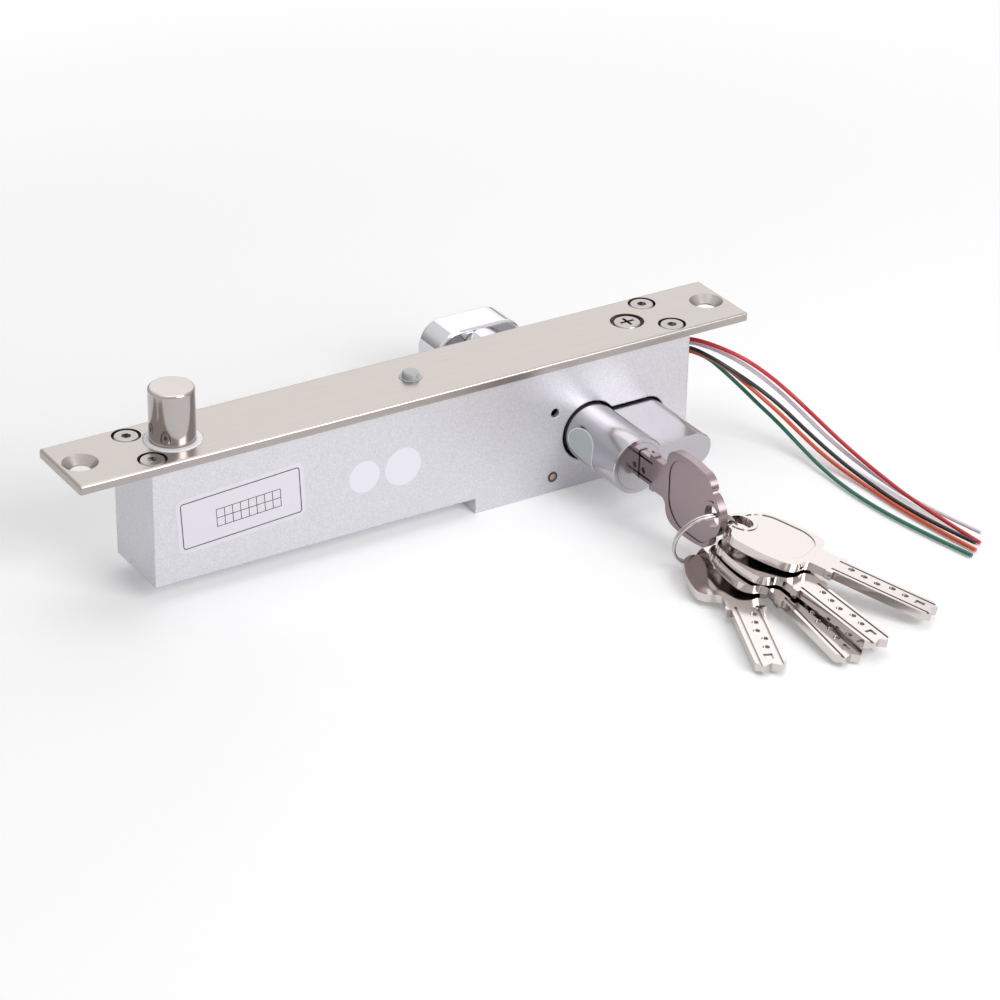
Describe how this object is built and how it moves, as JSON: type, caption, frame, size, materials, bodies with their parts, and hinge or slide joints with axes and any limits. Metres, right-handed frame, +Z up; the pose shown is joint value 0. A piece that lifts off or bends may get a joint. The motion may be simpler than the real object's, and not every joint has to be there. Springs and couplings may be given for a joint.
{
  "type": "electric_drop_bolt_lock",
  "caption": "Electric drop bolt lock with a long face plate, round bolt, euro cylinder with thumb knob, keys on a ring and thin wires",
  "frame": {"origin": "on the underside of the case's deep foot, straight below the cylinder's axis, at mid thickness", "axes": "+X along the face plate from the bolt to the wires, +Z up and out of the face plate, -Y the side that the key goes in from"},
  "size_m": [0.2345, 0.1918, 0.0571],
  "materials": {
    "stainless_plate": "brushed",
    "bolt_steel": "polished",
    "screw_steel": "satin",
    "case_metal": "satin",
    "cylinder_nickel": "satin",
    "knob_chrome": "polished",
    "key_nickel": "satin",
    "ring_steel": "polished",
    "white_plastic": "smooth",
    "clear_plastic": "clear",
    "black_plastic": "moulded",
    "board_green": "laminate",
    "zinc_steel": "zinc plated",
    "coil_tape": "wound",
    "red_insulation": "smooth",
    "black_insulation": "smooth",
    "white_insulation": "smooth",
    "orange_insulation": "smooth",
    "green_insulation": "smooth"
  },
  "bodies": {
    "lock": {"face_plate": "stainless_plate", "case_body": "case_metal", "rear_cover": "case_metal", "cover_screws": "screw_steel", "plate_screws": "screw_steel", "cylinder_fixing_screw": "screw_steel", "case_rivet": "screw_steel", "bolt_bush": "white_plastic", "led_lens": "clear_plastic", "led": "clear_plastic", "circuit_board": "board_green", "board_components": "white_plastic", "door_sensor": "black_plastic", "solenoid_frame": "zinc_steel", "solenoid_coil": "coil_tape", "crank_pin": "screw_steel", "cylinder_body": "cylinder_nickel", "wire_grommet": "black_plastic", "return_spring": "zinc_steel", "wire_red": "red_insulation", "wire_black": "black_insulation", "wire_white": "white_insulation", "wire_orange": "orange_insulation", "wire_green": "green_insulation"},
    "bolt_group": {"bolt": "bolt_steel", "bolt_cross_pin": "bolt_steel", "bolt_lug": "bolt_steel"},
    "crank_group": {"bell_crank": "zinc_steel"},
    "plunger_group": {"solenoid_plunger": "zinc_steel", "plunger_clip": "screw_steel", "link_pin": "screw_steel"},
    "release_group": {"release_bar": "zinc_steel", "release_pin": "screw_steel"},
    "plug_group": {"cylinder_plug": "cylinder_nickel", "plug_clip": "screw_steel"},
    "knob_group": {"thumb_knob": "knob_chrome", "knob_spindle": "cylinder_nickel", "knob_set_screw": "screw_steel", "cam": "cylinder_nickel"},
    "lock_key_group": {"key_in_lock": "key_nickel"},
    "ring_group": {"key_ring": "ring_steel"},
    "spare_key_1_group": {"spare_key_1": "key_nickel"},
    "spare_key_2_group": {"spare_key_2": "key_nickel"},
    "spare_key_3_group": {"spare_key_3": "key_nickel"},
    "spare_key_4_group": {"spare_key_4": "key_nickel"}
  },
  "joints": [
    {"name": "bolt_slide", "type": "slide", "parent": "lock", "child": "bolt_group", "axis": [0, 0, 1], "range_m": [-0.0156, 0], "stiffness_N_per_m": 300, "springref_m": 0.01, "deforming": ["return_spring"]},
    {"name": "crank_turn", "type": "hinge", "parent": "lock", "child": "crank_group", "pos_m": [-0.1056, 0, 0.0182], "axis": [0, 1, 0], "range_deg": [-42.62, 0]},
    {"name": "plunger_slide", "type": "slide", "parent": "lock", "child": "plunger_group", "axis": [1, 0, 0], "range_m": [-0.00781, 0]},
    {"name": "release_slide", "type": "slide", "parent": "lock", "child": "release_group", "axis": [-1, 0, 0], "range_m": [-0.00625, 0]},
    {"name": "plug_turn", "type": "hinge", "parent": "lock", "child": "plug_group", "pos_m": [0, -0.02, 0.0166], "axis": [0, 1, 0], "range_deg": [-90, 0]},
    {"name": "knob_turn", "type": "hinge", "parent": "lock", "child": "knob_group", "pos_m": [0, 0.02, 0.0166], "axis": [0, 1, 0], "range_deg": [-90, 0]},
    {"name": "key_withdraw", "type": "slide", "parent": "plug_group", "child": "lock_key_group", "axis": [0, -1, 0], "range_m": [0, 0.024]},
    {"name": "ring_swing", "type": "hinge", "parent": "lock_key_group", "child": "ring_group", "pos_m": [0.0012, -0.0716, 0.0173], "axis": [1, 0, 0], "range_deg": [-80, 0]},
    {"name": "spare_key_1_fan", "type": "hinge", "parent": "ring_group", "child": "spare_key_1_group", "pos_m": [0.00467, -0.07038, 0.00342], "axis": [0.0077, 0.0195, -0.9998], "range_deg": [-5, 0]},
    {"name": "spare_key_2_fan", "type": "hinge", "parent": "ring_group", "child": "spare_key_2_group", "pos_m": [0.00828, -0.07312, 0.00723], "axis": [-0.115, 0.0978, -0.9885], "range_deg": [-6, 0]},
    {"name": "spare_key_3_fan", "type": "hinge", "parent": "ring_group", "child": "spare_key_3_group", "pos_m": [0.00873, -0.07392, 0.0097], "axis": [-0.1274, 0.081, -0.9885], "range_deg": [0, 6]},
    {"name": "spare_key_4_fan", "type": "hinge", "parent": "ring_group", "child": "spare_key_4_group", "pos_m": [0.00809, -0.07409, 0.01359], "axis": [-0.1935, 0.0976, -0.9762], "range_deg": [-10, 0]}
  ],
  "couplings": [
    {"joint": "crank_turn", "follows": "bolt_slide", "rad_per_m": 47.674},
    {"joint": "plunger_slide", "follows": "bolt_slide", "ratio": 0.5},
    {"joint": "release_slide", "follows": "bolt_slide", "ratio": 0.4},
    {"joint": "knob_turn", "follows": "plug_turn", "ratio": 1}
  ]
}
